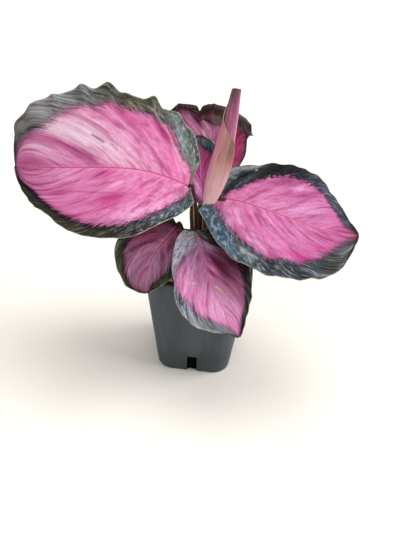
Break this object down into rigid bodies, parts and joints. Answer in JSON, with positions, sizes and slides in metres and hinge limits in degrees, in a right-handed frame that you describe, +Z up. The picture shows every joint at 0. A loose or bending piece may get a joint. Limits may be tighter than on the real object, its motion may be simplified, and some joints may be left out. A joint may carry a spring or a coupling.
{
  "type": "potted calathea",
  "caption": "Foliage plant with broad, dark-edged pink leaves and a furled new leaf, in a tapered square plastic pot with drain notches.",
  "frame": {"origin": "centre of the pot's base, on the table", "axes": "+Z up; -Y is out of the pot's front face, the one the picture shows; +X is to the right in the picture"},
  "size_m": [0.2786, 0.1359, 0.2523],
  "materials": {
    "pot_plastic": "satin moulded plastic, dark grey",
    "potting_mix": "moist dark brown peat with bark and white perlite grains",
    "blade": "pink centre feathering into a near-black, silver-flecked margin; semi-gloss",
    "petiole": "dark maroon, satin",
    "furled_blade": "salmon pink outside, purple tip, satin"
  },
  "bodies": {
    "root": {"pot": "pot_plastic", "potting_mix": "potting_mix", "petiole_large_left": "petiole", "blade_large_left": "blade", "petiole_right": "petiole", "blade_right": "blade", "petiole_lower_front": "petiole", "blade_lower_front": "blade", "petiole_lower_left": "petiole", "blade_lower_left": "blade", "petiole_rear": "petiole", "blade_rear": "blade", "petiole_inner": "petiole", "blade_inner": "blade", "petiole_furled": "petiole", "furled_leaf": "furled_blade"}
  },
  "joints": []
}
